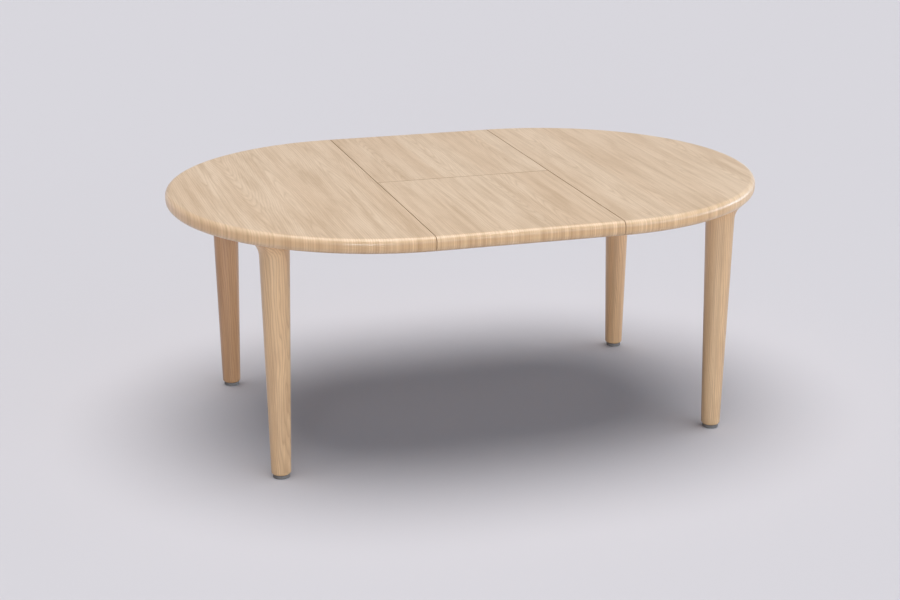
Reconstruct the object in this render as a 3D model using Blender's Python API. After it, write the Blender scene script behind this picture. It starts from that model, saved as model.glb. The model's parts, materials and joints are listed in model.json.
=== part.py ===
"""Extendable dining table: round top split in two halves, folding leaf between them.

Metres, +Z up, +X is the direction the table extends in, -Y is the front.
The origin is on the floor under the middle of the leaf, with the leaf in place.
"""

import bpy
import bmesh
from math import cos, sin, tan, pi, radians, sqrt, acos
from mathutils import Matrix, Vector

# ---------------------------------------------------------------- driving dimensions
TOP_HEIGHT = 0.735          # floor to the top surface
TOP_RADIUS = 0.625          # round top, 1250 mm across
EDGE_DEPTH = 0.043          # depth of the edge all the way round
PANEL_DEPTH = 0.024         # thickness of the top inside the built-up edge
RIM_WIDTH = 0.125           # width of the built-up edge, seen from below
TOP_ROUNDING = 0.016        # upper corner of the edge
BOTTOM_ROUNDING = 0.018     # lower corner of the edge
LEAF_LENGTH = 0.539         # leaf, along X
SEAM_GAP = 0.001            # between the leaf and each half of the top
LEAF_SEAM_GAP = 0.0008      # between the two halves of the leaf
ARC_STEPS = 56              # steps round each half circle

LEG_REACH = 0.5565          # leg axis from the centre of its half circle, at 45 degrees
LEG_HEAD_RADIUS = 0.0432
LEG_FOOT_RADIUS = 0.0281
LEG_FOOT_ROUNDING = 0.008
LEG_STEPS = 40
FLARE_RADIUS = 0.060        # concave radius that blends the leg into the edge
FLARE_START = 0.653         # height at which the flare starts
FLARE_FULL = radians(50)    # flare is complete this far either side of the outward line
FLARE_NONE = radians(98)    # and gone beyond this

GLIDE_RADIUS = 0.0235
GLIDE_HEIGHT = 0.0097
GLIDE_STEM_RADIUS = 0.004
GLIDE_STEM_LENGTH = 0.016

PLATE_RADIUS = 0.030
PLATE_DEPTH = 0.004
BOLT_RADIUS = 0.005
BOLT_BOTTOM = 0.630
BOLT_TOP = 0.721

RAIL_THICKNESS = 0.024      # cross rail between the two legs of one end
RAIL_DEPTH = 0.029
RAIL_HALF = 0.3494          # half its length
RAIL_SCREW_Y = 0.330        # screw place on each half of the rail

MEMBER_THICKNESS = 0.0126   # one runner member, across
MEMBER_DEPTH = 0.0457       # and down
MEMBER_INNER = 0.3220       # near face of the left end's members, from the middle
MEMBER_SPLIT = 0.0008       # gap between the two members of a runner
MEMBER_OUTER_END = 0.620    # member's far end, from the middle
MEMBER_LAP = 0.105          # how far each member runs past the middle
TONGUE_HEIGHT = 0.688       # middle of the sliding tongue and groove

MODULE = 0.0018             # tooth size
PINION_TEETH = 10
RACK_ADDENDUM = 0.0010
RACK_DEDENDUM = 0.0018
PINION_ADDENDUM = 0.0014
PINION_DEDENDUM = 0.0017
PRESSURE_ANGLE = radians(20)
BACKLASH = 0.00025          # taken off each side of each tooth
RACK_BACK = 0.0038          # rack's bar behind the pitch line
RACK_BOTTOM = 0.6565
RACK_TOP = 0.6645
RACK_TOOTH_COUNT = 58
PIN_RADIUS = 0.003
RUNNING_CLEARANCE = 0.00005

GUIDE_HALF_LENGTH = 0.180
GUIDE_WALL = 0.006
GUIDE_TOP = 0.700
GUIDE_BOTTOM = 0.645
GUIDE_FLOOR = 0.008
GUIDE_LEDGE = 0.020
GUIDE_SLACK = 0.0007

BEARER_X = 0.130
BEARER_WIDTH = 0.022
PEG_RADIUS = 0.004
PEG_Y = 0.100
PEG_RISE = 0.006

HINGE_XS = (-0.180, 0.180)
HINGE_CUP_RADIUS = 0.007
HINGE_CUP_DEPTH = 0.024
FOLD_HEIGHT = 0.0005        # the fold axis above the top surface

BRACKET_X = 0.560
BRACKET_LENGTH = 0.030
BRACKET_THICKNESS = 0.003
BRACKET_LEG = 0.024

CLEAR = 0.0003              # gap between pieces that touch

# ---------------------------------------------------------------- worked-out sizes
LEAF_HALF = LEAF_LENGTH / 2
CENTRE_X = LEAF_HALF + SEAM_GAP
LEG_OFFSET = LEG_REACH / sqrt(2)
LEG_X = CENTRE_X + LEG_OFFSET
LEG_Y = LEG_OFFSET
EDGE_BOTTOM = TOP_HEIGHT - EDGE_DEPTH
PANEL_BOTTOM = TOP_HEIGHT - PANEL_DEPTH
LEG_TOP = EDGE_BOTTOM - CLEAR
LEG_BOTTOM = GLIDE_HEIGHT + CLEAR
MEMBER_TOP = PANEL_BOTTOM - CLEAR
MEMBER_BOTTOM = MEMBER_TOP - MEMBER_DEPTH
SPLIT_LOW = MEMBER_INNER + MEMBER_THICKNESS
SPLIT_HIGH = SPLIT_LOW + MEMBER_SPLIT
MEMBER_OUTER = SPLIT_HIGH + MEMBER_THICKNESS
RUNNER_Y = (MEMBER_INNER + MEMBER_OUTER) / 2
PITCH_RADIUS = MODULE * PINION_TEETH / 2
TOOTH_PITCH = pi * MODULE


# ---------------------------------------------------------------- materials
def material(name, colour, roughness, metallic=0.0):
    mat = bpy.data.materials.new(name)
    mat.use_nodes = True
    shader = mat.node_tree.nodes["Principled BSDF"]
    shader.inputs["Base Color"].default_value = (*colour, 1.0)
    shader.inputs["Roughness"].default_value = roughness
    shader.inputs["Metallic"].default_value = metallic
    return mat


FINISHES = {
    "top_oak": ((0.72, 0.55, 0.40), 0.45, 0.0),
    "leg_oak": ((0.55, 0.34, 0.19), 0.50, 0.0),
    "rail_beech": ((0.62, 0.44, 0.28), 0.55, 0.0),
    "runner_aluminium": ((0.70, 0.71, 0.73), 0.35, 1.0),
    "bright_steel": ((0.60, 0.60, 0.60), 0.35, 1.0),
    "black_nylon": ((0.03, 0.03, 0.03), 0.50, 0.0),
    "white_nylon": ((0.80, 0.80, 0.76), 0.45, 0.0),
    "glide_grey": ((0.10, 0.09, 0.085), 0.70, 0.0),
    "hinge_brass": ((0.72, 0.55, 0.26), 0.35, 1.0),
}


# ---------------------------------------------------------------- building helpers
def finish(name, bm, look, smooth=None):
    """Turn a bmesh into a named object with its own material."""
    bmesh.ops.remove_doubles(bm, verts=bm.verts, dist=0.000001)
    bmesh.ops.recalc_face_normals(bm, faces=bm.faces)
    mesh = bpy.data.meshes.new(name)
    bm.to_mesh(mesh)
    bm.free()
    if smooth is not None:
        mesh.polygons.foreach_set("use_smooth", [True] * len(mesh.polygons))
        mesh.set_sharp_from_angle(angle=radians(smooth))
    if look:
        mesh.materials.append(material(name, *FINISHES[look]))
    obj = bpy.data.objects.new(name, mesh)
    bpy.context.scene.collection.objects.link(obj)
    return obj


def prism(name, outline, axis, low, high, look, smooth=None):
    """Extrude a closed outline along one axis, from low to high."""
    place = {
        "X": lambda a, b, c: (c, a, b),
        "Y": lambda a, b, c: (a, c, b),
        "Z": lambda a, b, c: (a, b, c),
    }[axis]
    bm = bmesh.new()
    ring = [bm.verts.new(place(a, b, low)) for a, b in outline]
    face = bm.faces.new(ring)
    grown = bmesh.ops.extrude_face_region(bm, geom=[face])
    moved = [v for v in grown["geom"] if isinstance(v, bmesh.types.BMVert)]
    bmesh.ops.translate(bm, verts=moved, vec=place(0.0, 0.0, high - low))
    return finish(name, bm, look, smooth)


def turned(name, profile, steps, look, smooth=35, angle=2 * pi, start=0.0):
    """Turn an open (radius, height) profile that begins and ends on the axis."""
    bm = bmesh.new()
    verts = [bm.verts.new((r * cos(start), r * sin(start), z)) for r, z in profile]
    edges = [bm.edges.new(pair) for pair in zip(verts, verts[1:])]
    bmesh.ops.spin(bm, geom=verts + edges, cent=(0, 0, 0), axis=(0, 0, 1), angle=angle, steps=steps)
    bmesh.ops.remove_doubles(bm, verts=bm.verts, dist=0.000001)
    open_edges = [e for e in bm.edges if e.is_boundary]
    if open_edges:
        bmesh.ops.contextual_create(bm, geom=open_edges)
    return finish(name, bm, look, smooth)


def cutter(name, pieces):
    """One hidden cutting body made of drills and blocks."""
    bm = bmesh.new()
    for kind, centre, size, axis in pieces:
        turn = {"X": Matrix.Rotation(pi / 2, 4, "Y"), "Y": Matrix.Rotation(-pi / 2, 4, "X")}
        place = Matrix.Translation(centre) @ turn.get(axis, Matrix.Identity(4))
        if kind == "drill":
            radius, length = size
            bmesh.ops.create_cone(
                bm, cap_ends=True, segments=24, radius1=radius, radius2=radius, depth=length, matrix=place
            )
        else:
            bmesh.ops.create_cube(bm, size=1.0, matrix=place @ Matrix.Diagonal((*size, 1.0)))
    obj = finish(name, bm, None)
    obj.hide_render = True
    obj.display_type = "WIRE"
    return obj


def cut(target, pieces):
    """Cut drills and blocks out of a piece."""
    tool = cutter(target.name + "_cutter", pieces)
    tool.parent = target
    boolean = target.modifiers.new("cut", "BOOLEAN")
    boolean.operation = "DIFFERENCE"
    boolean.solver = "EXACT"
    boolean.object = tool


def joint(name, location=(0.0, 0.0, 0.0)):
    """An empty on a joint's axis, which carries everything that moves with it."""
    empty = bpy.data.objects.new(name, None)
    empty.location = location
    bpy.context.scene.collection.objects.link(empty)
    return empty


def carry(empty, obj, location=(0.0, 0.0, 0.0), turn=0.0):
    """Parent a piece to its joint and place it in the table's frame."""
    obj.parent = empty
    obj.location = Vector(location) - empty.location
    obj.rotation_euler = (0.0, 0.0, turn)
    return obj


def edge_profile(reach):
    """The edge's section from the underside out, round and back on top, at a given reach."""
    points = []
    for step in range(4):
        a = radians(30 * step)
        points.append(
            (
                reach - BOTTOM_ROUNDING + BOTTOM_ROUNDING * sin(a),
                EDGE_BOTTOM + BOTTOM_ROUNDING - BOTTOM_ROUNDING * cos(a),
            )
        )
    for step in range(5):
        a = radians(22.5 * step)
        points.append(
            (
                reach - TOP_ROUNDING + TOP_ROUNDING * cos(a),
                TOP_HEIGHT - TOP_ROUNDING + TOP_ROUNDING * sin(a),
            )
        )
    return points


def screw(name, head_radius, shank_radius, head_depth, length, look="bright_steel"):
    """Pan head at the origin, shank pointing up."""
    profile = [
        (0.0, -head_depth),
        (head_radius * 0.7, -head_depth),
        (head_radius, -head_depth * 0.5),
        (head_radius, 0.0),
        (shank_radius, 0.0),
        (shank_radius, length * 0.85),
        (0.0, length),
    ]
    return turned(name, profile, 16, look)


# ---------------------------------------------------------------- the two ends
def flare_share(angle):
    """How much of the flare a leg has at this angle from its outward line."""
    t = (FLARE_NONE - abs(angle)) / (FLARE_NONE - FLARE_FULL)
    t = min(1.0, max(0.0, t))
    return t * t * (3 - 2 * t)


def leg(name):
    """Turned tapering leg, its outward line along +X, with a flare under the edge."""
    taper = (LEG_HEAD_RADIUS - LEG_FOOT_RADIUS) / (LEG_TOP - LEG_BOTTOM)
    profile = [(0.0, LEG_BOTTOM)]
    for step in range(4):
        a = radians(30 * step)
        profile.append(
            (
                LEG_FOOT_RADIUS - LEG_FOOT_ROUNDING + LEG_FOOT_ROUNDING * sin(a),
                LEG_BOTTOM + LEG_FOOT_ROUNDING - LEG_FOOT_ROUNDING * cos(a),
            )
        )
    for height in (0.20, 0.40, 0.55, FLARE_START, 0.660, 0.669, 0.677, 0.684, 0.690, LEG_TOP):
        profile.append((LEG_FOOT_RADIUS + taper * (height - LEG_BOTTOM), height))
    profile.append((0.0, LEG_TOP))
    obj = turned(name, profile, LEG_STEPS, "leg_oak")
    for vert in obj.data.vertices:
        x, y, z = vert.co
        radius = sqrt(x * x + y * y)
        if z > FLARE_START and radius > 0.01:
            rise = z - FLARE_START
            flare = FLARE_RADIUS - sqrt(FLARE_RADIUS**2 - rise**2)
            grow = 1 + flare * flare_share(acos(max(-1.0, min(1.0, x / radius)))) / radius
            vert.co = (x * grow, y * grow, z)
    bore_bottom = BOLT_BOTTOM - 0.001
    stem_top = GLIDE_HEIGHT + GLIDE_STEM_LENGTH + 0.001
    cut(
        obj,
        [
            ("drill", (0, 0, LEG_TOP), (PLATE_RADIUS + CLEAR, 2 * (PLATE_DEPTH + CLEAR)), "Z"),
            ("drill", (0, 0, 0), (GLIDE_STEM_RADIUS + CLEAR, 2 * stem_top), "Z"),
        ],
    )
    cut(obj, [("drill", (0, 0, (bore_bottom + 0.75) / 2), (BOLT_RADIUS + CLEAR, 0.75 - bore_bottom), "Z")])
    return obj


def top_half(name, side):
    """Half of the round top: panel with a built-up edge and an open recess below."""
    edge = edge_profile(TOP_RADIUS)
    inner = TOP_RADIUS - RIM_WIDTH
    profile = [(0.0, PANEL_BOTTOM), (inner, PANEL_BOTTOM), (inner, EDGE_BOTTOM), *edge, (0.0, TOP_HEIGHT)]
    start = -pi / 2 if side > 0 else pi / 2
    obj = turned(name, profile, ARC_STEPS, "top_oak", smooth=30, angle=pi, start=start)
    bolt_hole = (BOLT_RADIUS + CLEAR, 0.040)
    holes = [
        ("drill", (side * LEG_OFFSET, front * LEG_OFFSET, BOLT_TOP - 0.019), bolt_hole, "Z")
        for front in (-1, 1)
    ]
    screws = [bracket_place(side, front) for front in (-1, 1)]
    holes += [
        ("drill", (x - side * CENTRE_X, y, PANEL_BOTTOM), (0.0023, 0.031), "Z")
        for x, y in screws
    ]
    holes += [
        ("drill", (side * LEG_OFFSET, front * RAIL_SCREW_Y, EDGE_BOTTOM), (0.0028, 0.044), "Z")
        for front in (-1, 1)
    ]
    cut(obj, holes)
    return obj


def glide_profile():
    """Half section of a grey disc with a stem that is pressed up into the foot."""
    profile = [
        (0.0, 0.0),
        (GLIDE_RADIUS - 0.001, 0.0),
        (GLIDE_RADIUS, 0.001),
        (GLIDE_RADIUS, GLIDE_HEIGHT - 0.001),
        (GLIDE_RADIUS - 0.001, GLIDE_HEIGHT),
        (GLIDE_STEM_RADIUS, GLIDE_HEIGHT),
        (GLIDE_STEM_RADIUS, GLIDE_HEIGHT + GLIDE_STEM_LENGTH),
        (0.0, GLIDE_HEIGHT + GLIDE_STEM_LENGTH),
    ]
    return profile


def plate(name):
    """Round steel plate let into the head of a leg."""
    top = LEG_TOP - 0.0001
    profile = [
        (0.0, top - PLATE_DEPTH),
        (PLATE_RADIUS, top - PLATE_DEPTH),
        (PLATE_RADIUS, top),
        (0.0, top),
    ]
    obj = turned(name, profile, 32, "bright_steel")
    cut(obj, [("drill", (0, 0, top), (BOLT_RADIUS + CLEAR, 0.02), "Z")])
    return obj


def bolt(name):
    """Hanger bolt that ties a leg to the built-up edge."""
    profile = [
        (0.0, BOLT_BOTTOM),
        (BOLT_RADIUS * 0.6, BOLT_BOTTOM),
        (BOLT_RADIUS, BOLT_BOTTOM + 0.006),
        (BOLT_RADIUS, BOLT_TOP - 0.002),
        (BOLT_RADIUS - 0.001, BOLT_TOP),
        (0.0, BOLT_TOP),
    ]
    return turned(name, profile, 16, "bright_steel")


def member_section(near, far, groove_face, tongue):
    """Section of a runner member, from its face next to the other member to its outer face."""
    out = 1 if far > near else -1
    half = 0.0029 if tongue == "groove" else 0.0025
    head = 0.0054 if tongue == "groove" else 0.0050
    neck = 0.0013 if tongue == "groove" else -0.0025
    end = 0.0046 if tongue == "groove" else -0.0050
    a = near + out * neck
    b = near + out * end
    slot_low = 0.6725
    slot_high = 0.6775
    deep = far - out * groove_face
    return [
        (near, MEMBER_BOTTOM),
        (far, MEMBER_BOTTOM),
        (far, slot_low),
        (deep, slot_low),
        (deep, slot_high),
        (far, slot_high),
        (far, MEMBER_TOP),
        (near, MEMBER_TOP),
        (near, TONGUE_HEIGHT + half),
        (a, TONGUE_HEIGHT + half),
        (a, TONGUE_HEIGHT + head),
        (b, TONGUE_HEIGHT + head),
        (b, TONGUE_HEIGHT - head),
        (a, TONGUE_HEIGHT - head),
        (a, TONGUE_HEIGHT - half),
        (near, TONGUE_HEIGHT - half),
    ]


def runner_member(name, side, front):
    """One member of a telescopic runner; the left end's has the groove, the right end's the tongue."""
    if side < 0:
        section = member_section(SPLIT_LOW, MEMBER_INNER, 0.003, "groove")
        low, high = -MEMBER_OUTER_END, MEMBER_LAP
    else:
        section = member_section(SPLIT_HIGH, MEMBER_OUTER, 0.003, "tongue")
        low, high = -MEMBER_LAP, MEMBER_OUTER_END
    outline = [(front * y, z) for y, z in section]
    obj = prism(name, outline, "X", low, high, "runner_aluminium")
    x, y, z = bracket_screw(side, front)
    cut(obj, [("drill", (x, y, z), (0.0023, 0.017), "Y")])
    return obj


def rack(name, side, front):
    """Toothed bar under a runner member, its teeth towards the pinion."""
    line = RUNNER_Y + side * PITCH_RADIUS
    back = line + side * RACK_BACK
    tip = line - side * RACK_ADDENDUM
    root = line + side * RACK_DEDENDUM
    lean_tip = RACK_ADDENDUM * tan(PRESSURE_ANGLE)
    lean_root = RACK_DEDENDUM * tan(PRESSURE_ANGLE)
    half = TOOTH_PITCH / 4 - BACKLASH
    first = -50 if side < 0 else 50 - RACK_TOOTH_COUNT + 1
    outline = []
    for count in range(RACK_TOOTH_COUNT):
        x = (first + count) * TOOTH_PITCH
        outline += [
            (x - half - lean_root, root),
            (x - half + lean_tip, tip),
            (x + half - lean_tip, tip),
            (x + half + lean_root, root),
        ]
    low = outline[0][0]
    high = outline[-1][0]
    outline += [(high, back), (low, back)]
    outline = [(x, front * y) for x, y in outline]
    return prism(name, outline, "Z", RACK_BOTTOM, RACK_TOP, "white_nylon")


def bracket_place(side, front):
    """Where a bracket's upright wood screw goes, in plan."""
    face = MEMBER_INNER if side < 0 else MEMBER_OUTER
    return (side * BRACKET_X, front * (face + side * 0.014))


def bracket_screw(side, front):
    """Where a bracket's screw into its member goes."""
    face = MEMBER_INNER if side < 0 else MEMBER_OUTER
    return (side * BRACKET_X, front * face, 0.695)


def bracket(name, side, front):
    """Steel angle that holds a runner member to the underside of the top."""
    face = MEMBER_INNER if side < 0 else MEMBER_OUTER
    near = face + side * CLEAR
    thick = near + side * BRACKET_THICKNESS
    far = near + side * BRACKET_LEG
    top = PANEL_BOTTOM - CLEAR
    outline = [
        (near, top - BRACKET_LEG),
        (thick, top - BRACKET_LEG),
        (thick, top - BRACKET_THICKNESS),
        (far, top - BRACKET_THICKNESS),
        (far, top),
        (near, top),
    ]
    outline = [(front * y, z) for y, z in outline]
    low = side * BRACKET_X - BRACKET_LENGTH / 2
    obj = prism(name, outline, "X", low, low + BRACKET_LENGTH, "bright_steel")
    x, y = bracket_place(side, front)
    sx, sy, sz = bracket_screw(side, front)
    cut(obj, [("drill", (x, y, top), (0.0023, 0.02), "Z"), ("drill", (sx, sy, sz), (0.0023, 0.02), "Y")])
    return obj


def build_end(word, side):
    """Everything that slides with one half of the top."""
    slide = joint(word + "_end")
    carry(slide, top_half(word + "_top", side), (side * CENTRE_X, 0, 0))
    rail = prism(
        word + "_cross_rail",
        [
            (-RAIL_THICKNESS / 2, LEG_TOP - RAIL_DEPTH),
            (RAIL_THICKNESS / 2, LEG_TOP - RAIL_DEPTH),
            (RAIL_THICKNESS / 2, LEG_TOP),
            (-RAIL_THICKNESS / 2, LEG_TOP),
        ],
        "Y",
        -RAIL_HALF,
        RAIL_HALF,
        "rail_beech",
    )
    cut(rail, [("drill", (0, f * RAIL_SCREW_Y, LEG_TOP - 0.02), (0.0028, 0.08), "Z") for f in (-1, 1)])
    carry(slide, rail, (side * LEG_X, 0, 0))
    for front, end in ((-1, "front_" + word), (1, "rear_" + word)):
        place = (side * LEG_X, front * LEG_Y, 0)
        outward = pi / 4 if side > 0 else 3 * pi / 4
        carry(slide, leg(end + "_leg"), place, front * outward)
        carry(slide, turned(end + "_glide", glide_profile(), 24, "glide_grey"), place)
        carry(slide, plate(end + "_leg_plate"), place)
        carry(slide, bolt(end + "_leg_bolt"), place)
        carry(slide, runner_member(end + "_runner_member", side, front))
        carry(slide, rack(end + "_rack", side, front))
        carry(slide, bracket(end + "_runner_bracket", side, front))
        x, y = bracket_place(side, front)
        low = PANEL_BOTTOM - 2 * CLEAR - BRACKET_THICKNESS
        carry(slide, screw(end + "_bracket_screw", 0.0042, 0.0020, 0.002, 0.017), (x, y, low))
        low = LEG_TOP - RAIL_DEPTH - CLEAR
        rail_screw = screw(end + "_rail_screw", 0.0048, 0.0025, 0.002, 0.046)
        carry(slide, rail_screw, (side * LEG_X, front * RAIL_SCREW_Y, low))
    return slide


# ---------------------------------------------------------------- the centre carriage
def guide(name, front):
    """Channel that both members of a runner slide through, with a ledge for the bearers."""
    inner = MEMBER_INNER - GUIDE_SLACK
    outer = MEMBER_OUTER + GUIDE_SLACK
    low = 0.6730
    high = 0.6770
    lip = 0.0028
    section = [
        (inner - GUIDE_WALL - GUIDE_LEDGE, GUIDE_BOTTOM),
        (outer + GUIDE_WALL, GUIDE_BOTTOM),
        (outer + GUIDE_WALL, GUIDE_TOP),
        (outer, GUIDE_TOP),
        (outer, high),
        (outer - lip, high),
        (outer - lip, low),
        (outer, low),
        (outer, GUIDE_BOTTOM + GUIDE_FLOOR),
        (inner, GUIDE_BOTTOM + GUIDE_FLOOR),
        (inner, low),
        (inner + lip, low),
        (inner + lip, high),
        (inner, high),
        (inner, GUIDE_TOP),
        (inner - GUIDE_WALL, GUIDE_TOP),
        (inner - GUIDE_WALL, GUIDE_BOTTOM + GUIDE_WALL),
        (inner - GUIDE_WALL - GUIDE_LEDGE, GUIDE_BOTTOM + GUIDE_WALL),
    ]
    outline = [(front * y, z) for y, z in section]
    obj = prism(name, outline, "X", -GUIDE_HALF_LENGTH, GUIDE_HALF_LENGTH, "black_nylon")
    holes = [("drill", (0, front * RUNNER_Y, GUIDE_BOTTOM), (PIN_RADIUS + RUNNING_CLEARANCE, 0.03), "Z")]
    holes += [
        ("drill", (x, front * bearer_screw_y(), GUIDE_BOTTOM), (0.0028, 0.03), "Z")
        for x in (-BEARER_X, BEARER_X)
    ]
    cut(obj, holes)
    return obj


def bearer_screw_y():
    return MEMBER_INNER - GUIDE_SLACK - GUIDE_WALL - GUIDE_LEDGE / 2


def pinion(name, phase):
    """Spur gear with involute teeth and a plain bore."""
    base = PITCH_RADIUS * cos(PRESSURE_ANGLE)
    tip = PITCH_RADIUS + PINION_ADDENDUM
    root = PITCH_RADIUS - PINION_DEDENDUM

    def involute(radius):
        a = acos(min(1.0, base / radius))
        return tan(a) - a

    half = pi / (2 * PINION_TEETH) - BACKLASH / PITCH_RADIUS
    radii = [base, (base + PITCH_RADIUS) / 2, PITCH_RADIUS, (PITCH_RADIUS + tip) / 2, tip]
    swing = [half + involute(PITCH_RADIUS) - involute(r) for r in radii]
    outline = []
    for tooth in range(PINION_TEETH):
        middle = phase + 2 * pi * tooth / PINION_TEETH
        flank = [(root, swing[0] + 0.02)] + list(zip(radii, swing))
        for radius, a in flank:
            outline.append((radius * cos(middle - a), radius * sin(middle - a)))
        for radius, a in reversed(flank):
            outline.append((radius * cos(middle + a), radius * sin(middle + a)))
    obj = prism(name, outline, "Z", RACK_BOTTOM, RACK_TOP, "white_nylon")
    cut(obj, [("drill", (0, 0, RACK_BOTTOM), (PIN_RADIUS + RUNNING_CLEARANCE, 0.03), "Z")])
    return obj


def axle(name):
    """Plain pin that a pinion turns on."""
    profile = [
        (0.0, GUIDE_BOTTOM),
        (PIN_RADIUS, GUIDE_BOTTOM),
        (PIN_RADIUS, RACK_TOP),
        (0.0, RACK_TOP),
    ]
    return turned(name, profile, 24, "bright_steel")


def bearer(name, x):
    """Wooden rail across the carriage that the leaf lies on."""
    low = GUIDE_BOTTOM + GUIDE_WALL + CLEAR
    reach = MEMBER_INNER - GUIDE_SLACK - GUIDE_WALL - CLEAR
    half = BEARER_WIDTH / 2
    top = MEMBER_TOP
    section = [(-half, low), (half, low), (half, top), (-half, top)]
    obj = prism(name, section, "Y", -reach, reach, "rail_beech")
    holes = [("drill", (0, f * bearer_screw_y(), low), (0.0023, 0.05), "Z") for f in (-1, 1)]
    holes.append(("drill", (0, PEG_Y, top), (PEG_RADIUS + CLEAR, 0.0406), "Z"))
    cut(obj, holes)
    return obj


def build_carriage():
    carriage = joint("carriage")
    for front, word in ((-1, "front"), (1, "rear")):
        carry(carriage, guide(word + "_runner_guide", front))
        carry(carriage, axle(word + "_pinion_axle"), (0, front * RUNNER_Y, 0))
        spin = joint(word + "_pinion_spin", (0, front * RUNNER_Y, 0))
        carry(spin, pinion(word + "_pinion", pi / 2 + pi / PINION_TEETH), (0, front * RUNNER_Y, 0))
    for side, word in ((-1, "left"), (1, "right")):
        x = side * BEARER_X
        carry(carriage, bearer(word + "_leaf_bearer", x), (x, 0, 0))
        peg = [
            (0.0, MEMBER_TOP - 0.020),
            (PEG_RADIUS, MEMBER_TOP - 0.020),
            (PEG_RADIUS, MEMBER_TOP + PEG_RISE - 0.0015),
            (PEG_RADIUS - 0.0015, MEMBER_TOP + PEG_RISE),
            (0.0, MEMBER_TOP + PEG_RISE),
        ]
        carry(carriage, turned(word + "_locating_peg", peg, 16, "rail_beech"), (x, PEG_Y, 0))
        for front, end in ((-1, "front_"), (1, "rear_")):
            place = (x, front * bearer_screw_y(), GUIDE_BOTTOM - CLEAR)
            carry(carriage, screw(end + word + "_bearer_screw", 0.0048, 0.0020, 0.002, 0.028), place)
    return carriage


# ---------------------------------------------------------------- the leaf
def leaf_half(name, front):
    """Half of the leaf: panel, built-up edge on its outer side, hinge holes in the seam."""
    seam = LEAF_SEAM_GAP / 2
    inner = TOP_RADIUS - RIM_WIDTH
    section = [(seam, PANEL_BOTTOM), (inner, PANEL_BOTTOM), (inner, EDGE_BOTTOM)]
    section += edge_profile(TOP_RADIUS) + [(seam, TOP_HEIGHT)]
    outline = [(front * y, z) for y, z in section]
    obj = prism(name, outline, "X", -LEAF_HALF, LEAF_HALF, "top_oak", smooth=30)
    middle = (TOP_HEIGHT + PANEL_BOTTOM) / 2
    depth = 2 * (HINGE_CUP_DEPTH + 0.0012)
    holes = [("drill", (x, 0, middle), (HINGE_CUP_RADIUS + CLEAR, depth), "Y") for x in HINGE_XS]
    if front > 0:
        holes += [
            ("drill", (x, PEG_Y, PANEL_BOTTOM), (PEG_RADIUS + 0.0005, 2 * PEG_RISE + 0.002), "Z")
            for x in (-BEARER_X, BEARER_X)
        ]
    cut(obj, holes)
    return obj


def hinge_cup(name, front):
    """Barrel of a concealed hinge, lying in the leaf with its mouth at the seam."""
    low = LEAF_SEAM_GAP / 2
    profile = [
        (0.0, 0.0),
        (HINGE_CUP_RADIUS - 0.0005, 0.0),
        (HINGE_CUP_RADIUS, 0.0005),
        (HINGE_CUP_RADIUS, HINGE_CUP_DEPTH - 0.001),
        (HINGE_CUP_RADIUS - 0.001, HINGE_CUP_DEPTH),
        (0.0, HINGE_CUP_DEPTH),
    ]
    obj = turned(name, profile, 24, "hinge_brass")
    obj.data.transform(Matrix.Translation((0, front * low, 0)) @ Matrix.Rotation(-front * pi / 2, 4, "X"))
    return obj


def build_leaf():
    middle = (TOP_HEIGHT + PANEL_BOTTOM) / 2
    rear = joint("rear_leaf_lift")
    fold = joint("front_leaf_fold", (0, 0, TOP_HEIGHT + FOLD_HEIGHT))
    carry(rear, leaf_half("rear_leaf", 1))
    carry(fold, leaf_half("front_leaf", -1))
    for word, x in zip(("left", "right"), HINGE_XS):
        carry(rear, hinge_cup("rear_" + word + "_hinge_cup", 1), (x, 0, middle))
        carry(fold, hinge_cup("front_" + word + "_hinge_cup", -1), (x, 0, middle))


# ---------------------------------------------------------------- build
def main():
    for obj in list(bpy.data.objects):
        bpy.data.objects.remove(obj, do_unlink=True)
    build_carriage()
    build_end("left", -1)
    build_end("right", 1)
    build_leaf()


main()
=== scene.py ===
"""Looks for an extendable dining table: oak top and leaf, turned legs, geared runners."""

import json
from math import acos, cos, pi, radians, sqrt

import bmesh
import bpy
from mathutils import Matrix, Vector


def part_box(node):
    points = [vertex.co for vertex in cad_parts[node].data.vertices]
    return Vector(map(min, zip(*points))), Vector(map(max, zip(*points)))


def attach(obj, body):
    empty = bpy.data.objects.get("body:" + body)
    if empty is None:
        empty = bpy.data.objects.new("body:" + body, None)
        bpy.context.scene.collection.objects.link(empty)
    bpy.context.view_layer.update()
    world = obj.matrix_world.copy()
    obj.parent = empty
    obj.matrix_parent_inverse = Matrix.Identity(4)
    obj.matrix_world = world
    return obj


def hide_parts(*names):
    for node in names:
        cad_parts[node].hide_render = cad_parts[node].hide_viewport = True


bl_info = {
    "name": "Extendable dining table",
    "version": (1, 0, 0),
    "blender": (4, 5, 0),
    "location": "3D View > Sidebar > Dining table",
    "description": "Models and finishes the pieces of an extendable dining table",
    "category": "Object",
}

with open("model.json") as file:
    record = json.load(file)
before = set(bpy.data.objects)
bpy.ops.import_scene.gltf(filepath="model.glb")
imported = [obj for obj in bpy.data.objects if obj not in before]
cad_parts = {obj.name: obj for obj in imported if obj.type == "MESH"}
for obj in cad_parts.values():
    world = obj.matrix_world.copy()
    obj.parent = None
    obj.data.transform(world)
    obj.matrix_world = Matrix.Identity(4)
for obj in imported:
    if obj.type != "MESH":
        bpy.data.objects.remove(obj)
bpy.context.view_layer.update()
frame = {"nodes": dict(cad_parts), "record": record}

ENDS = (("left", -1), ("right", 1))
ROWS = (("front", -1), ("rear", 1))
TOP_LOW, TOP_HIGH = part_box("right_top")
LEG_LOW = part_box("front_right_leg")[0]
FOOT_LOW, FOOT_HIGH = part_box("front_right_glide")
SURFACE = TOP_HIGH.z
SEAM_X = TOP_LOW.x
LEG_X = (FOOT_LOW.x + FOOT_HIGH.x) / 2
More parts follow.
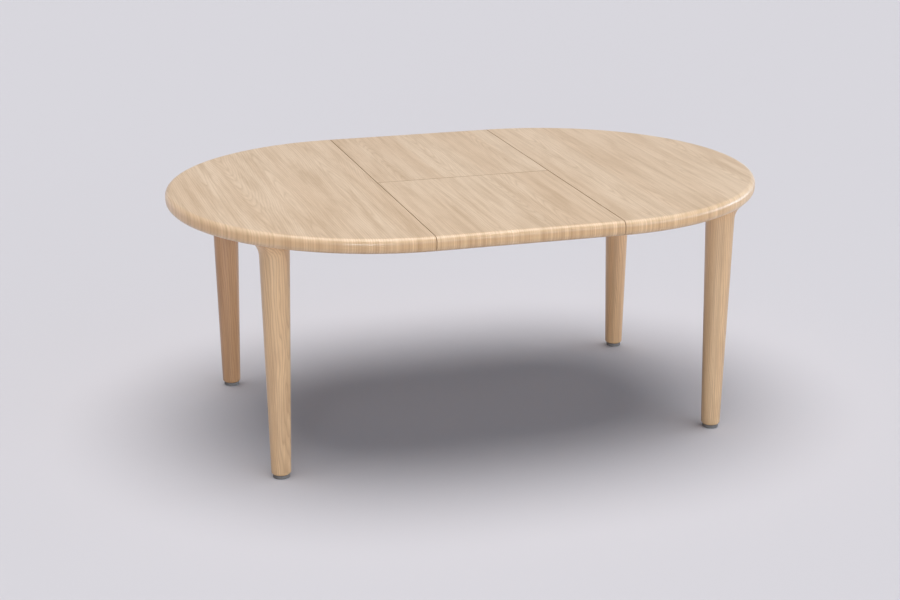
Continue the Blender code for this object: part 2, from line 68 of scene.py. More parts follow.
LEG_Y = -(FOOT_LOW.y + FOOT_HIGH.y) / 2


# ---------------------------------------------------------------- sizes and colours
class TableSizes(bpy.types.PropertyGroup):
    """Sizes of the visible pieces that a maker would change."""

    top_rounding: bpy.props.FloatProperty(
        name="Top rounding",
        description="Radius on the upper corner of the edge",
        default=0.016,
        unit="LENGTH",
    )
    bottom_rounding: bpy.props.FloatProperty(
        name="Bottom rounding",
        description="Radius on the lower corner of the edge",
        default=0.018,
        unit="LENGTH",
    )
    seam_easing: bpy.props.FloatProperty(
        name="Seam easing",
        description="Small bevel on the faces that meet at the seams",
        default=0.0012,
        unit="LENGTH",
    )
    panel_depth: bpy.props.FloatProperty(
        name="Panel depth",
        description="Thickness of the top inside the built-up edge",
        default=0.024,
        unit="LENGTH",
    )
    rim_width: bpy.props.FloatProperty(
        name="Rim width",
        description="Width of the built-up edge seen from below",
        default=0.125,
        unit="LENGTH",
    )
    leg_head_radius: bpy.props.FloatProperty(
        name="Leg head radius",
        description="Radius of a leg under the top",
        default=0.0432,
        unit="LENGTH",
    )
    leg_foot_radius: bpy.props.FloatProperty(
        name="Leg foot radius",
        description="Radius of a leg at the floor",
        default=0.0281,
        unit="LENGTH",
    )
    foot_rounding: bpy.props.FloatProperty(
        name="Foot rounding",
        description="Radius on the bottom corner of a leg",
        default=0.008,
        unit="LENGTH",
    )
    flare_radius: bpy.props.FloatProperty(
        name="Flare radius",
        description="Concave radius that blends a leg into the edge",
        default=0.060,
        unit="LENGTH",
    )
    flare_start: bpy.props.FloatProperty(
        name="Flare start",
        description="Height at which a leg starts to flare",
        default=0.653,
        unit="LENGTH",
    )


class TableColours(bpy.types.PropertyGroup):
    """Base colours of the finishes."""

    oak_light: bpy.props.FloatVectorProperty(
        name="Oak light",
        description="Palest wood on the top",
        default=(0.94, 0.70, 0.492),
        subtype="COLOR",
    )
    oak_mid: bpy.props.FloatVectorProperty(
        name="Oak mid",
        description="Middle tone on the top",
        default=(0.872, 0.623, 0.418),
        subtype="COLOR",
    )
    oak_dark: bpy.props.FloatVectorProperty(
        name="Oak dark",
        description="Grain lines on the top",
        default=(0.52, 0.322, 0.165),
        subtype="COLOR",
    )
    leg_light: bpy.props.FloatVectorProperty(
        name="Leg light",
        description="Palest wood on the legs",
        default=(0.75, 0.448, 0.232),
        subtype="COLOR",
    )
    leg_mid: bpy.props.FloatVectorProperty(
        name="Leg mid",
        description="Middle tone on the legs",
        default=(0.645, 0.357, 0.168),
        subtype="COLOR",
    )
    leg_dark: bpy.props.FloatVectorProperty(
        name="Leg dark",
        description="Grain lines on the legs",
        default=(0.38, 0.195, 0.085),
        subtype="COLOR",
    )
    floor: bpy.props.FloatVectorProperty(
        name="Floor",
        description="Plain studio floor",
        default=(0.648, 0.611, 0.628),
        subtype="COLOR",
    )


def sizes():
    return bpy.context.scene.dining_table_sizes


def colours():
    return bpy.context.scene.dining_table_colours


# ---------------------------------------------------------------- material helpers
def add(tree, kind, inputs=None, **settings):
    """Add a shader node, set its settings, and set or link its inputs."""
    node = tree.nodes.new(kind)
    for key, value in settings.items():
        setattr(node, key, value)
    for key, value in (inputs or {}).items():
        if isinstance(value, bpy.types.NodeSocket):
            tree.links.new(value, node.inputs[key])
        else:
            node.inputs[key].default_value = value
    return node


def maths(tree, operation, a, b=0.0, clamp=False):
    node = add(tree, "ShaderNodeMath", {0: a, 1: b}, operation=operation, use_clamp=clamp)
    return node.outputs[0]


def ramp(tree, value, stops):
    """A colour ramp on a value, from (position, grey or colour) stops."""
    node = add(tree, "ShaderNodeValToRGB", {"Fac": value})
    elements = node.color_ramp.elements
    while len(elements) < len(stops):
        elements.new(0.5)
    for element, (position, colour) in zip(elements, stops):
        element.position = position
        grey = isinstance(colour, (int, float))
        element.color = (colour, colour, colour, 1.0) if grey else (*colour, 1.0)
    return node.outputs["Color"]


def mix(tree, share, first, second, blend="MIX"):
    """Mix two colours by a share."""
    node = add(tree, "ShaderNodeMix", data_type="RGBA", blend_type=blend)
    for key, value in ((0, share), (6, first), (7, second)):
        if isinstance(value, bpy.types.NodeSocket):
            tree.links.new(value, node.inputs[key])
        elif key == 0:
            node.inputs[key].default_value = value
        else:
            node.inputs[key].default_value = (*value, 1.0)
    return node.outputs[2]


def stretched(tree, vector, scale):
    return add(tree, "ShaderNodeVectorMath", {0: vector, 1: scale}, operation="MULTIPLY").outputs[0]


def noise(tree, vector, scale, detail=2.0, roughness=0.5, distortion=0.0):
    """Noise on a stretched copy of the coordinates."""
    node = add(
        tree,
        "ShaderNodeTexNoise",
        {
            "Vector": stretched(tree, vector, scale),
            "Scale": 1.0,
            "Detail": detail,
            "Roughness": roughness,
            "Distortion": distortion,
        },
    )
    return node.outputs[0]


def new_material(name):
    material = bpy.data.materials.new(name)
    material.use_nodes = True
    return material, material.node_tree, material.node_tree.nodes["Principled BSDF"]


def surface(tree, shader, colour, roughness, height, distance, strength=1.0):
    """Wire a colour, a roughness and a bump height to the shader."""
    tree.links.new(colour, shader.inputs["Base Color"])
    tree.links.new(roughness, shader.inputs["Roughness"])
    bump = add(tree, "ShaderNodeBump", {"Height": height, "Distance": distance, "Strength": strength})
    tree.links.new(bump.outputs[0], shader.inputs["Normal"])


# ---------------------------------------------------------------- wood
# Painted shade: a darker, warmer multiply on upright faces, for the way the light falls on the edges.
UPRIGHT_PAINTED_SHADE = (0.865, 0.715, 0.56)
UNDERSIDE_SHADE = (0.72, 0.68, 0.66)
# Painted shade: a dark brown band along each seam, where shade falls in the eased joint.
PAINTED_SEAM_SHADE = (0.33, 0.165, 0.065)
PAINTED_SEAM_SHADE_SHARE = 0.62
BOARD_WIDTH = 0.135
BOARD_RINGS = 165.0
TURNED_RINGS = 190.0
HEART_ROUNDING = 0.00028
HEART_OF_TURNED = (0.085, 0.0, 0.04)
BUMP_DEPTH = 0.00012
TONE_SCALE = (8.0, 0.9, 8.0)
CLOUD_SCALE = (17.0, 2.2, 17.0)
STREAK_SCALE = (62.0, 2.1, 62.0)
FIBRE_SCALE = (420.0, 7.0, 420.0)
PORE_SCALE = (950.0, 30.0, 950.0)
STRIPE_SCALE = (72.0, 0.0, 0.0)
STREAK_SHARE = 0.48
FIBRE_SHARE = 0.22
PORE_SHARE = 0.45
STRIPE_SHARE = 0.85
FLAT_OAK = {"rings": 0.33, "clouds": 0.34, "coat": 0.38, "specular": 0.36}
TURNED_OAK = {"rings": 0.56, "clouds": 0.46, "coat": 0.55, "specular": 0.5}
COAT_ROUGHNESS = 0.24


def board_places(tree, placed, board_width, seed):
    """Distance from each board's heart, length along it, and the board's own tone."""
    across, along, _ = add(tree, "ShaderNodeSeparateXYZ", {0: placed}).outputs
    position = maths(tree, "DIVIDE", across, board_width)
    board = maths(tree, "FLOOR", position)
    seeded = maths(tree, "ADD", board, seed)
    lottery = add(tree, "ShaderNodeTexWhiteNoise", {"W": seeded}, noise_dimensions="1D")
    first, second, third = add(tree, "ShaderNodeSeparateXYZ", {0: lottery.outputs["Color"]}).outputs
    heart = maths(tree, "ADD", maths(tree, "MULTIPLY", first, 0.9), 0.05)
    offset = maths(tree, "SUBTRACT", maths(tree, "SUBTRACT", position, board), heart)
    return (
        maths(tree, "MULTIPLY", offset, board_width),
        maths(tree, "ADD", along, maths(tree, "MULTIPLY", second, 7.0)),
        maths(tree, "SUBTRACT", third, 0.5),
    )


def flat_sawn(tree, placed, seed):
    """Growth ring count on edge-glued flat-sawn boards, and the tone of each board."""
    offset, along, tone = board_places(tree, placed, BOARD_WIDTH, seed)
    square = maths(tree, "ADD", maths(tree, "MULTIPLY", offset, offset), HEART_ROUNDING)
    rings = maths(tree, "MULTIPLY", maths(tree, "SQRT", square), BOARD_RINGS)
    taper = maths(tree, "MULTIPLY", along, maths(tree, "MULTIPLY", tone, 26.0))
    wander = maths(tree, "MULTIPLY", noise(tree, placed, (7.5, 1.9, 1.0), 2.5, 0.5), 6.0)
    fine = maths(tree, "MULTIPLY", noise(tree, placed, (50.0, 3.2, 1.0), 2.0), 0.9)
    total = maths(tree, "ADD", maths(tree, "ADD", rings, taper), maths(tree, "ADD", wander, fine))
    return total, tone


def turned(tree, placed):
    """Growth ring count in a turned piece, from a heart that lies outside it."""
    pith = add(tree, "ShaderNodeVectorMath", {0: placed, 1: HEART_OF_TURNED}, operation="ADD").outputs[0]
    upright = stretched(tree, pith, (1.0, 0.0, 1.0))
    reach = add(tree, "ShaderNodeVectorMath", {0: upright}, operation="LENGTH").outputs["Value"]
    rings = maths(tree, "MULTIPLY", reach, TURNED_RINGS)
    along = add(tree, "ShaderNodeSeparateXYZ", {0: placed}).outputs[1]
    taper = maths(tree, "MULTIPLY", along, 4.0)
    wander = maths(tree, "MULTIPLY", noise(tree, placed, (13.0, 2.2, 13.0), 3.0), 9.0)
    fine = maths(tree, "MULTIPLY", noise(tree, placed, (60.0, 5.0, 60.0), 2.0), 0.7)
    return maths(tree, "ADD", maths(tree, "ADD", rings, taper), maths(tree, "ADD", wander, fine))


def seam_shade_band(tree, coordinate, place, width):
    """One in a narrow band about a place on either side of zero, and nothing outside it."""
    away = maths(tree, "ABSOLUTE", maths(tree, "SUBTRACT", maths(tree, "ABSOLUTE", coordinate), place))
    return maths(tree, "SUBTRACT", 1.0, maths(tree, "DIVIDE", away, width), clamp=True)


def oak(name, tones, shift, turn=(0.0, 0.0, 0.0), round_piece=False, painted_seam_shades=()):
    """Lacquered oak: growth rings, cathedral figure, fibres and pores along the mapped Y axis."""
    light, mid, dark = tones
    look = TURNED_OAK if round_piece else FLAT_OAK
    material, tree, shader = new_material(name)
    coords = add(tree, "ShaderNodeTexCoord")
    placed = add(
        tree,
        "ShaderNodeMapping",
        {"Vector": coords.outputs["Object"], "Location": shift, "Rotation": turn},
    ).outputs[0]
    tone = noise(tree, placed, TONE_SCALE, 2.0)
    if round_piece:
        field = turned(tree, placed)
    else:
        placed = stretched(tree, placed, (1.0, 1.0, 0.0))
        field, board_tone = flat_sawn(tree, placed, shift[0])
        tone = maths(tree, "ADD", tone, maths(tree, "MULTIPLY", board_tone, 0.22))
    ring = maths(tree, "FRACT", field)
    line = ramp(tree, ring, [(0.0, 0.25), (0.12, 1.0), (0.30, 0.45), (0.65, 0.0), (1.0, 0.25)])
    fibre = noise(tree, placed, FIBRE_SCALE, 3.0, 0.6)
    streak = noise(tree, placed, STREAK_SCALE, 4.0, 0.62)
    pore_noise = noise(tree, placed, PORE_SCALE, 2.0, 0.5)
    pores = ramp(tree, pore_noise, [(0.56, 0.0), (0.70, 1.0)])
    base = mix(tree, ramp(tree, tone, [(0.36, 0.0), (0.64, 1.0)]), light, mid)
    base = mix(tree, maths(tree, "MULTIPLY", line, look["rings"]), base, dark)
    cloud = noise(tree, placed, CLOUD_SCALE, 4.0, 0.62, 0.5)
    broad = ramp(tree, cloud, [(0.47, 0.0), (0.70, 1.0)])
    base = mix(tree, maths(tree, "MULTIPLY", broad, look["clouds"]), base, dark)
    streaks = ramp(tree, streak, [(0.45, 0.0), (0.72, 1.0)])
    streak_share = maths(tree, "MULTIPLY", streaks, STREAK_SHARE)
    base = mix(tree, streak_share, base, dark)
    fibres = ramp(tree, fibre, [(0.35, 0.0), (0.75, 1.0)])
    fibre_share = maths(tree, "MULTIPLY", fibres, FIBRE_SHARE)
    base = mix(tree, fibre_share, base, dark)
    pore_share = maths(tree, "MULTIPLY", maths(tree, "MULTIPLY", pores, line), PORE_SHARE)
    base = mix(tree, pore_share, base, dark)
    if not round_piece:
        facing = add(tree, "ShaderNodeSeparateXYZ", {0: coords.outputs["Normal"]}).outputs
        end_grain = maths(tree, "POWER", maths(tree, "ABSOLUTE", facing[1]), 2.0)
        stripe = noise(tree, placed, STRIPE_SCALE, 5.0, 0.70)
        stripes = ramp(tree, stripe, [(0.40, 0.0), (0.64, 1.0)])
        stripe_share = maths(tree, "MULTIPLY", maths(tree, "MULTIPLY", stripes, end_grain), STRIPE_SHARE)
        base = mix(tree, stripe_share, base, dark)
        # Painted shade and warmth on upright faces, stronger the nearer a face is to vertical.
        upright = maths(tree, "SUBTRACT", 1.0, maths(tree, "ABSOLUTE", facing[2]))
        base = mix(tree, maths(tree, "POWER", upright, 0.7), base, UPRIGHT_PAINTED_SHADE, "MULTIPLY")
        below = maths(tree, "MULTIPLY", facing[2], -1.0, clamp=True)
        base = mix(tree, below, base, UNDERSIDE_SHADE, "MULTIPLY")
        object_parts = add(tree, "ShaderNodeSeparateXYZ", {0: coords.outputs["Object"]}).outputs
        # Painted shade along the seams, darkest at the joint and fading across the band.
        for axis, place, width in painted_seam_shades:
            band = ramp(tree, seam_shade_band(tree, object_parts[axis], place, width), [(0.0, 0.0), (0.6, 1.0)])
            base = mix(tree, maths(tree, "MULTIPLY", band, PAINTED_SEAM_SHADE_SHARE), base, PAINTED_SEAM_SHADE)
    rough = maths(tree, "ADD", maths(tree, "MULTIPLY", fibre, 0.12), 0.34)
    rough = maths(tree, "ADD", rough, maths(tree, "MULTIPLY", pores, 0.10))
    height = maths(tree, "SUBTRACT", maths(tree, "MULTIPLY", fibre, 0.4), pores)
    height = maths(tree, "SUBTRACT", height, maths(tree, "MULTIPLY", line, 0.4))
    surface(tree, shader, base, rough, height, BUMP_DEPTH, 0.6)
    shader.inputs["Coat Weight"].default_value = look["coat"]
    shader.inputs["Coat Roughness"].default_value = COAT_ROUGHNESS
    shader.inputs["Specular IOR Level"].default_value = look["specular"]
    return material


def plain_wood(name, light, dark):
    """Planed, unlacquered rail wood with short flecks; the grain runs along Y."""
    material, tree, shader = new_material(name)
    coords = add(tree, "ShaderNodeTexCoord").outputs["Object"]
    streak = noise(tree, coords, (160.0, 5.0, 160.0), 4.0, 0.6, 0.4)
    fleck = ramp(tree, noise(tree, coords, (700.0, 90.0, 700.0), 2.0), [(0.60, 0.0), (0.72, 1.0)])
    base = mix(tree, ramp(tree, streak, [(0.35, 0.0), (0.70, 1.0)]), light, dark)
    fleck_tone = (dark[0] * 0.6, dark[1] * 0.55, dark[2] * 0.5)
    base = mix(tree, maths(tree, "MULTIPLY", fleck, 0.4), base, fleck_tone)
    rough = maths(tree, "ADD", maths(tree, "MULTIPLY", streak, 0.2), 0.5)
    height = maths(tree, "SUBTRACT", streak, maths(tree, "MULTIPLY", fleck, 0.5))
    surface(tree, shader, base, rough, height, 0.0002)
    return material


# ---------------------------------------------------------------- metals and plastics
def metal(name, colour, roughness, stretch, scuff=0.12):
    """Metal with a drawn or turned texture and slight staining."""
    material, tree, shader = new_material(name)
    coords = add(tree, "ShaderNodeTexCoord").outputs["Object"]
    lines = noise(tree, coords, stretch, 3.0, 0.6)
    stain = noise(tree, coords, (22.0, 22.0, 22.0), 3.0, 0.6)
    darker = tuple(c * 0.78 for c in colour)
    base = mix(tree, ramp(tree, stain, [(0.35, 0.0), (0.70, 1.0)]), colour, darker)
    base = mix(tree, maths(tree, "MULTIPLY", lines, 0.25), base, darker)
    rough = maths(tree, "ADD", maths(tree, "MULTIPLY", lines, scuff), roughness)
    rough = maths(tree, "ADD", rough, maths(tree, "MULTIPLY", stain, 0.08))
    surface(tree, shader, base, rough, lines, 0.00005, 0.5)
    shader.inputs["Metallic"].default_value = 1.0
    return material


def moulded(name, colour, roughness, grain=1400.0, mottling=0.15):
    """Moulded plastic with a fine spark-eroded texture and faint mottling."""
    material, tree, shader = new_material(name)
    coords = add(tree, "ShaderNodeTexCoord").outputs["Object"]
    pits = noise(tree, coords, (grain, grain, grain), 2.0, 0.6)
    cloud = noise(tree, coords, (30.0, 30.0, 30.0), 3.0, 0.5)
    darker = tuple(c * (1.0 - mottling) for c in colour)
    base = mix(tree, cloud, colour, darker)
    base = mix(tree, maths(tree, "MULTIPLY", pits, 0.2), base, darker)
    rough = maths(tree, "ADD", maths(tree, "MULTIPLY", pits, 0.15), roughness)
    surface(tree, shader, base, rough, pits, 0.00006, 0.6)
    return material


def dress(node, material):
    """Give a CAD node a finish."""
    frame["nodes"][node].data.materials.clear()
    frame["nodes"][node].data.materials.append(material)


# ---------------------------------------------------------------- modelling helpers
FLUSH = 1e-5


def clear_selection():
    if bpy.context.object and bpy.context.object.mode != "OBJECT":
        bpy.ops.object.mode_set(mode="OBJECT")
    bpy.ops.object.select_all(action="DESELECT")
    bpy.context.view_layer.objects.active = None


def only(obj):
    clear_selection()
    obj.select_set(True)
    bpy.context.view_layer.objects.active = obj


def pick(obj, kind, test):
    """In edit mode, select only the edges or faces that pass a test on their corner points."""
    bpy.ops.mesh.select_mode(type=kind.upper())
    bpy.ops.mesh.select_all(action="DESELECT")
    mesh = bmesh.from_edit_mesh(obj.data)
    items = mesh.edges if kind == "edge" else mesh.faces
    for item in items:
        if test([v.co for v in item.verts]):
            item.select = True
    mesh.select_flush_mode()
    bmesh.update_edit_mesh(obj.data)


def flush(axis, place):
    """A test that all corner points lie at a place along an axis."""
    return lambda points: all(abs(p[axis] - place) < FLUSH for p in points)


def level(height):
    return flush(2, height)


def settle(obj, name, material, body, slot, *nodes, smooth=32.0):
    """Name a finished piece, apply its place, shade it, give it its finish and let it ride."""
    only(obj)
    bpy.ops.object.transform_apply(location=True, rotation=True, scale=True)
    bpy.ops.object.shade_smooth_by_angle(angle=radians(smooth))
    weighted = obj.modifiers.new("weighted", "WEIGHTED_NORMAL")
    weighted.keep_sharp = True
    bpy.ops.object.modifier_apply(modifier=weighted.name)
    obj.name = name
    obj.data.name = name
    obj.data.materials.clear()
    obj.data.materials.append(material)
    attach(obj, body)
    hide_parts(*nodes)
    return obj


def carve(obj, tool):
    """Cut one object out of another, and remove the tool."""
    only(obj)
    boolean = obj.modifiers.new("carve", "BOOLEAN")
    boolean.operation = "DIFFERENCE"
    boolean.solver = "EXACT"
    boolean.object = tool
    bpy.ops.object.modifier_apply(modifier=boolean.name)
    bpy.data.objects.remove(tool, do_unlink=True)


def block(low, high):
    """A box between two corners, ready for shaping."""
    clear_selection()
    low, high = Vector(low), Vector(high)
    bpy.ops.mesh.primitive_cube_add(size=1.0, location=(low + high) / 2)
    obj = bpy.context.object
    obj.scale = high - low
    bpy.ops.object.transform_apply(location=True, rotation=True, scale=True)
    return obj


def disc(radius, low, high, place, vertices):
    clear_selection()
    bpy.ops.mesh.primitive_cylinder_add(
        vertices=vertices,
        radius=radius,
        depth=high - low,
        end_fill_type="NGON",
        location=(place[0], place[1], (low + high) / 2),
    )
    obj = bpy.context.object
    bpy.ops.object.transform_apply(location=True, rotation=True, scale=True)
    return obj


def round_over(obj, test, radius, segments):
    """Bevel the edges that pass a test."""
    only(obj)
    bpy.ops.object.mode_set(mode="EDIT")
    pick(obj, "edge", test)
    bpy.ops.mesh.bevel(
        offset=radius, offset_type="OFFSET", segments=segments, profile=0.5, affect="EDGES"
    )
    bpy.ops.object.mode_set(mode="OBJECT")


# ---------------------------------------------------------------- the top and the leaf
ARC_CORNERS = 288
TOP_ROUND_STEPS = 8
BOTTOM_ROUND_STEPS = 5
# Widths of the painted seam shade, at the end seams and along the leaf's middle seam.
SEAM_SHADE_WIDTH = 0.0021
LEAF_SEAM_SHADE_WIDTH = 0.0030


def top_tones():
    c = colours()
    return tuple(c.oak_light), tuple(c.oak_mid), tuple(c.oak_dark)


def leg_tones(name):
    """Leg wood, with painted shade that darkens the rear legs, which stand under the top."""
    c = colours()
    depth = REAR_LEG_PAINTED_SHADE.get(name, (1.0, 1.0, 1.0))
    tones = (c.leg_light, c.leg_mid, c.leg_dark)
    return tuple(tuple(part * share for part, share in zip(tone, depth)) for tone in tones)


class TopHalves(bpy.types.Operator):
    """Model both halves of the round top"""

    bl_idname = "dining_table.top_halves"
    bl_label = "Top halves"

    def execute(self, context):
        s = sizes()
        radius = TOP_HIGH.y
        for word, side in ENDS:
            body = disc(radius, TOP_LOW.z, SURFACE, (side * SEAM_X, 0.0), ARC_CORNERS)
            round_over(body, level(SURFACE), s.top_rounding, TOP_ROUND_STEPS)
            round_over(body, level(TOP_LOW.z), s.bottom_rounding, BOTTOM_ROUND_STEPS)
            bpy.ops.object.mode_set(mode="EDIT")
            bpy.ops.mesh.select_all(action="SELECT")
            bpy.ops.mesh.bisect(
                plane_co=(side * SEAM_X, 0.0, 0.0),
                plane_no=(side, 0.0, 0.0),
                use_fill=True,
                clear_inner=True,
            )
            bpy.ops.object.mode_set(mode="OBJECT")
            round_over(body, flush(0, side * SEAM_X), s.seam_easing, 2)
            under = SURFACE - s.panel_depth
            tool = disc(radius - s.rim_width, under - 0.1, under, (side * SEAM_X, 0.0), ARC_CORNERS)
            carve(body, tool)
            shift = (side * 1.37 + 0.21, side * 0.73, 0.0)
            seams = ((0, SEAM_X, SEAM_SHADE_WIDTH),)
            finish = oak(word + "_top_oak", top_tones(), shift, painted_seam_shades=seams)
            settle(body, word + "_top_half", finish, word + "_end", "top_oak", word + "_top")
        return {"FINISHED"}


class LeafHalves(bpy.types.Operator):
    """Model both halves of the folding leaf"""

    bl_idname = "dining_table.leaf_halves"
    bl_label = "Leaf halves"

    def execute(self, context):
        s = sizes()
        for word, row in ROWS:
            low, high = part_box(word + "_leaf")
            body = block(low, high)
            outer = high.y if row > 0 else low.y

            def outer_edge(height):
                return lambda points: level(height)(points) and flush(1, outer)(points)

            round_over(body, outer_edge(high.z), s.top_rounding, TOP_ROUND_STEPS)
            round_over(body, outer_edge(low.z), s.bottom_rounding, BOTTOM_ROUND_STEPS)
            for end in (low.x, high.x):
                round_over(body, flush(0, end), s.seam_easing, 2)
            inner = low.y if row > 0 else high.y
            round_over(
                body,
                lambda points: flush(1, inner)(points) and all(p.z > high.z - 0.001 for p in points),
                s.seam_easing * 0.7,
                2,
            )
            under = SURFACE - s.panel_depth
            reach = TOP_HIGH.y - s.rim_width
            carve(body, block((low.x - 0.1, -reach, low.z - 0.05), (high.x + 0.1, reach, under)))
            shift = (0.47 * row + 3.1, row * 1.9, 0.0)
            seams = ((0, SEAM_X, SEAM_SHADE_WIDTH), (1, 0.0, LEAF_SEAM_SHADE_WIDTH))
            finish = oak(word + "_leaf_oak", top_tones(), shift, painted_seam_shades=seams)
            settle(body, word + "_leaf_half", finish, word + "_leaf", "top_oak", word + "_leaf")
        return {"FINISHED"}


# ---------------------------------------------------------------- legs and glides
FLARE_FULL = radians(50)
FLARE_NONE = radians(98)
FLARE_STEPS = 24
LEG_CORNERS = 96
LEG_SUNK = 0.007
# Painted shade: the rear legs' tones are scaled down, most on the rear left, for the shade under the
# top.
REAR_LEG_PAINTED_SHADE = {"rear_left_leg": (0.78, 0.66, 0.58), "rear_right_leg": (0.97, 0.90, 0.84)}
EDGE_SKIN = 0.0004
GLIDE_GAP = 0.0002
GLIDE_EASING = 0.0008
STEM_RADIUS = 0.004
GLIDE_GREY = (0.20, 0.16, 0.135)


def flare_share(angle):
    """Share of the flare that a leg has at an angle from its outward line."""
    t = min(1.0, max(0.0, (FLARE_NONE - abs(angle)) / (FLARE_NONE - FLARE_FULL)))
    return t * t * (3 - 2 * t)


def leg_body(side, row):
    """Turned taper, rounded at the foot, flared on its outer side under the edge."""
    s = sizes()
    low, high = LEG_LOW.z, TOP_LOW.z + LEG_SUNK
    place = (side * LEG_X, row * LEG_Y)
    clear_selection()
    bpy.ops.mesh.primitive_cone_add(
        vertices=LEG_CORNERS,
        radius1=s.leg_foot_radius,
        radius2=s.leg_head_radius,
        depth=high - low,
        end_fill_type="NGON",
        location=(*place, (low + high) / 2),
    )
    leg = bpy.context.object
    bpy.ops.object.transform_apply(location=True, rotation=True, scale=True)
    round_over(leg, level(low), s.foot_rounding, 6)
    bpy.ops.object.mode_set(mode="EDIT")
    for step in range(FLARE_STEPS):
        height = s.flare_start + (high - s.flare_start) * step / FLARE_STEPS
        bpy.ops.mesh.select_all(action="SELECT")
        bpy.ops.mesh.bisect(plane_co=(0.0, 0.0, height), plane_no=(0.0, 0.0, 1.0))
    bpy.ops.object.mode_set(mode="OBJECT")
    centre = Vector((*place, 0.0))
    outward = Vector((side, row, 0.0)).normalized()
    for vert in leg.data.vertices:
        spoke = Vector((vert.co.x, vert.co.y, 0.0)) - centre
        if vert.co.z <= s.flare_start or spoke.length < 0.01:
            continue
        rise = vert.co.z - s.flare_start
        flare = s.flare_radius - sqrt(s.flare_radius**2 - rise**2)
        angle = acos(max(-1.0, min(1.0, spoke.normalized().dot(outward))))
        vert.co += spoke.normalized() * flare * flare_share(angle)
        keep_inside(vert.co, side)
    return leg


def keep_inside(point, side):
    """Hold the head of a leg back inside the rounded edge of the top."""
    s = sizes()
    rise = point.z - TOP_LOW.z
    if rise <= 0:
        return
    drop = max(0.0, s.bottom_rounding - rise)
    reach = TOP_HIGH.y - s.bottom_rounding + sqrt(s.bottom_rounding**2 - drop**2) - EDGE_SKIN
    centre = Vector((side * SEAM_X, 0.0, point.z))
    spoke = point - centre
    if spoke.length > reach:
        point.xy = (centre + spoke.normalized() * reach).xy


class Legs(bpy.types.Operator):
    """Model the four turned legs"""

    bl_idname = "dining_table.legs"
    bl_label = "Legs"

    def execute(self, context):
        for word, side in ENDS:
            for line, row in ROWS:
                name = line + "_" + word + "_leg"
                shift = (-side * LEG_X + 0.013 * row, 0.9 * side + 2.3 * row, row * LEG_Y)
                finish = oak(name + "_oak", leg_tones(name), shift, (-pi / 2, 0.0, 0.0), True)
                settle(leg_body(side, row), name + "_turned", finish, word + "_end", "leg_oak", name)
        return {"FINISHED"}


class Glides(bpy.types.Operator):
    """Model the glide under each leg"""

    bl_idname = "dining_table.glides"
    bl_label = "Glides"

    def execute(self, context):
        finish = moulded("glide_grey", GLIDE_GREY, 0.55, 900.0, 0.3)
        for word, side in ENDS:
            for line, row in ROWS:
                name = line + "_" + word + "_glide"
                low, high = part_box(name)
                radius = (high.x - low.x) / 2
                top = LEG_LOW.z - GLIDE_GAP
                pad = disc(radius, 0.0, top, (side * LEG_X, row * LEG_Y), 64)
                round_over(pad, level(0.0), 0.0015, 3)
                round_over(pad, level(top), GLIDE_EASING, 2)
                bpy.ops.object.mode_set(mode="EDIT")
                pick(pad, "face", level(top))
                bpy.ops.mesh.inset(thickness=radius - GLIDE_EASING - STEM_RADIUS)
                stem = (0.0, 0.0, high.z - top)
                bpy.ops.mesh.extrude_region_move(TRANSFORM_OT_translate={"value": stem})
                bpy.ops.object.mode_set(mode="OBJECT")
                settle(pad, name + "_disc", finish, word + "_end", "glide_grey", name)
        return {"FINISHED"}


# ---------------------------------------------------------------- what is under the top
class Underside(bpy.types.Operator):
    """Finish the runners, the carriage and the fixings"""

    bl_idname = "dining_table.underside"
    bl_label = "Runners, carriage and fixings"

    def execute(self, context):
        beech = plain_wood("rail_beech", (0.62, 0.43, 0.27), (0.47, 0.29, 0.16))
        drawn = metal("runner_aluminium", (0.72, 0.73, 0.75), 0.28, (30.0, 1400.0, 1400.0))
        zinc = metal("bright_steel", (0.62, 0.63, 0.64), 0.25, (400.0, 400.0, 400.0))
        brass = metal("hinge_brass", (0.74, 0.55, 0.25), 0.25, (900.0, 60.0, 900.0))
        black = moulded("black_nylon", (0.035, 0.035, 0.037), 0.42)
        white = moulded("white_nylon", (0.78, 0.77, 0.72), 0.38, 1400.0, 0.08)
        finishes = {
            "rail_beech": beech,
            "runner_aluminium": drawn,
            "bright_steel": zinc,
            "hinge_brass": brass,
            "black_nylon": black,
            "white_nylon": white,
        }
        for subpart in frame["record"]["subparts"]:
            if subpart["material_slot"] in finishes:
                dress(subpart["node"], finishes[subpart["material_slot"]])
        return {"FINISHED"}


# ---------------------------------------------------------------- stage
CAMERA_PLACE = (-1.5559, -4.9727, 2.0122)
CAMERA_PITCH = 17.761
CAMERA_YAW = 16.909
CAMERA_LENS = 70.92
CAMERA_SENSOR = 36.0
FLOOR_SPAN = 240.0
SUN_STRENGTH = 2.85
SUN_SPREAD = 57.0
SKY_BAND = 0.56
SKY_TINT = (0.81, 1.05, 1.28)
SKY_FALL = [(0.0, 1.0), (0.14, 0.88), (0.31, 0.11), (1.0, 0.01)]
# Each key light: where it comes from, how narrow it is, and its strength.
KEY_LIGHTS = (
    ((0.62, -0.76, 0.21), 5.0, 5.5),
    ((-0.38, -0.92, 0.08), 90.0, 26.0),
    ((0.98, 0.08, 0.03), 22.0, 12.0),
)


def studio_sky(tree):
    """Soft light from low all round, strongest from the front and the right, and dark overhead."""
    background = tree.nodes["Background"]
    direction = add(tree, "ShaderNodeTexCoord").outputs["Generated"]
    height = add(tree, "ShaderNodeSeparateXYZ", {0: direction}).outputs[2]
    band = ramp(tree, height, SKY_FALL)
    light = SKY_BAND
    for side, tightness, strength in KEY_LIGHTS:
        towards = add(tree, "ShaderNodeVectorMath", {0: direction, 1: side}, operation="DOT_PRODUCT")
        lobe = maths(tree, "POWER", maths(tree, "MAXIMUM", towards.outputs["Value"], 0.0), tightness)
        light = maths(tree, "ADD", maths(tree, "MULTIPLY", lobe, strength), light)
    tree.links.new(maths(tree, "MULTIPLY", light, band), background.inputs["Strength"])
    background.inputs["Color"].default_value = (*SKY_TINT, 1.0)


